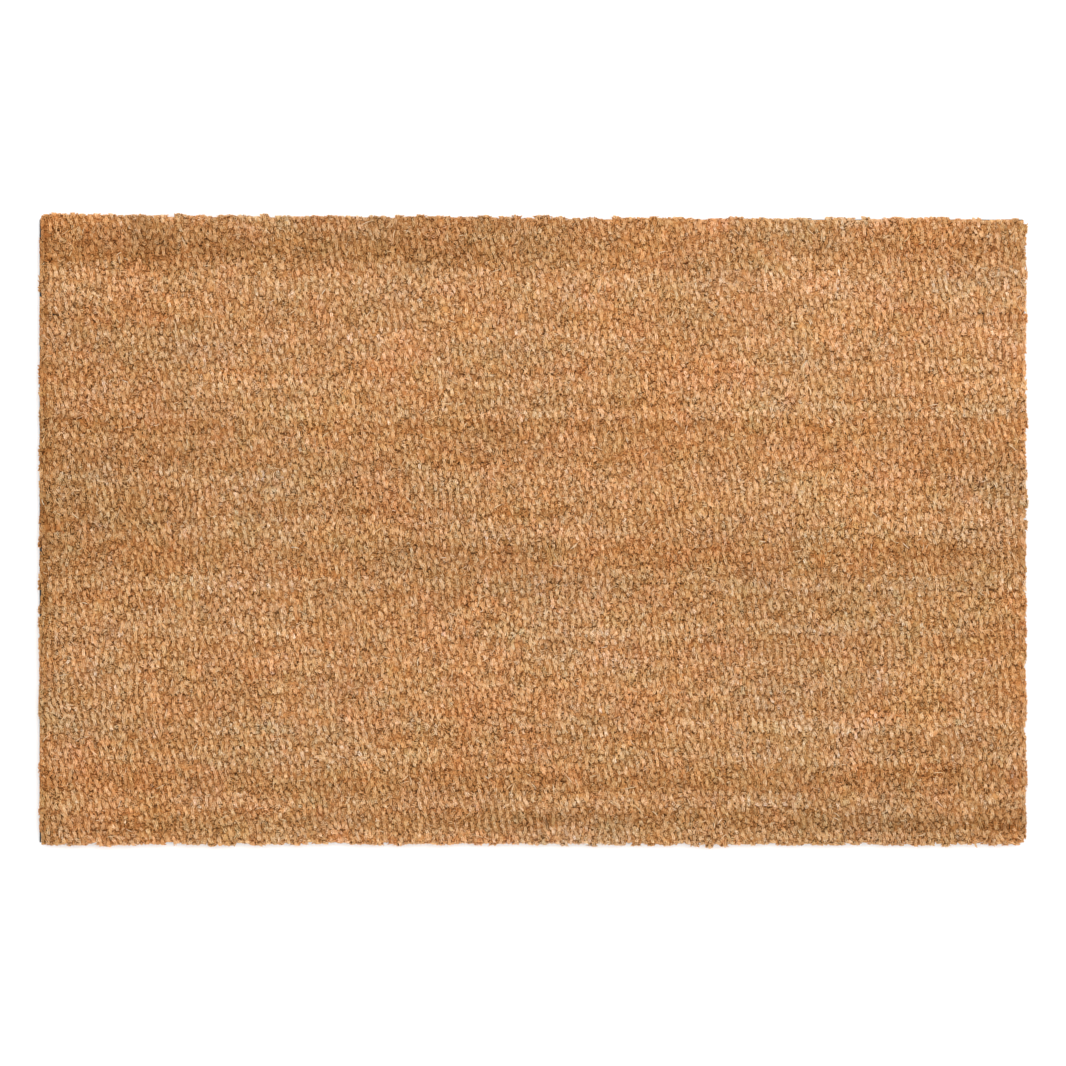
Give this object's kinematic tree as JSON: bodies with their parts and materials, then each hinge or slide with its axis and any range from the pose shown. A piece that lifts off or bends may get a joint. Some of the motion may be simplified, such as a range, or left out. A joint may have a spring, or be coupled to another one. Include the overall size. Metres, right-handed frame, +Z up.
{
  "type": "door mat",
  "caption": "Rectangular woven coir door mat with a dense cut pile, square-cut edges with no border, and a thin rubber backing coat.",
  "frame": {"origin": "middle of the underside, where the mat rests on the floor", "axes": "+X along the long side and along the pile rows, +Y along the short side and along the warp, +Z up out of the pile"},
  "size_m": [0.7, 0.4448, 0.016],
  "materials": {
    "coir_pile": "natural undyed coir, cut ends, dry and matt with a faint straw sheen",
    "coir_ground": "natural undyed coir yarn, woven tight, matt",
    "backing_rubber": "matt dark grey latex rubber, poured on"
  },
  "bodies": {
    "root": {"backing_coat": "backing_rubber", "ground_cloth": "coir_ground", "pile_rows_01": "coir_pile", "pile_rows_02": "coir_pile", "pile_rows_03": "coir_pile", "pile_rows_04": "coir_pile", "pile_rows_05": "coir_pile", "pile_rows_06": "coir_pile", "pile_rows_07": "coir_pile", "pile_rows_08": "coir_pile", "pile_rows_09": "coir_pile", "pile_rows_10": "coir_pile", "pile_rows_11": "coir_pile", "pile_rows_12": "coir_pile", "pile_rows_13": "coir_pile", "pile_rows_14": "coir_pile", "pile_rows_15": "coir_pile", "pile_rows_16": "coir_pile", "pile_rows_17": "coir_pile", "pile_rows_18": "coir_pile", "pile_rows_19": "coir_pile", "pile_rows_20": "coir_pile", "pile_rows_21": "coir_pile", "pile_rows_22": "coir_pile", "pile_rows_23": "coir_pile", "pile_rows_24": "coir_pile", "pile_rows_25": "coir_pile", "pile_rows_26": "coir_pile", "pile_rows_27": "coir_pile", "pile_rows_28": "coir_pile", "pile_rows_29": "coir_pile", "pile_rows_30": "coir_pile", "pile_rows_31": "coir_pile", "pile_rows_32": "coir_pile", "pile_rows_33": "coir_pile", "pile_rows_34": "coir_pile", "pile_rows_35": "coir_pile", "pile_rows_36": "coir_pile", "pile_rows_37": "coir_pile", "pile_rows_38": "coir_pile", "pile_rows_39": "coir_pile", "pile_rows_40": "coir_pile", "pile_rows_41": "coir_pile", "pile_rows_42": "coir_pile"}
  },
  "joints": []
}
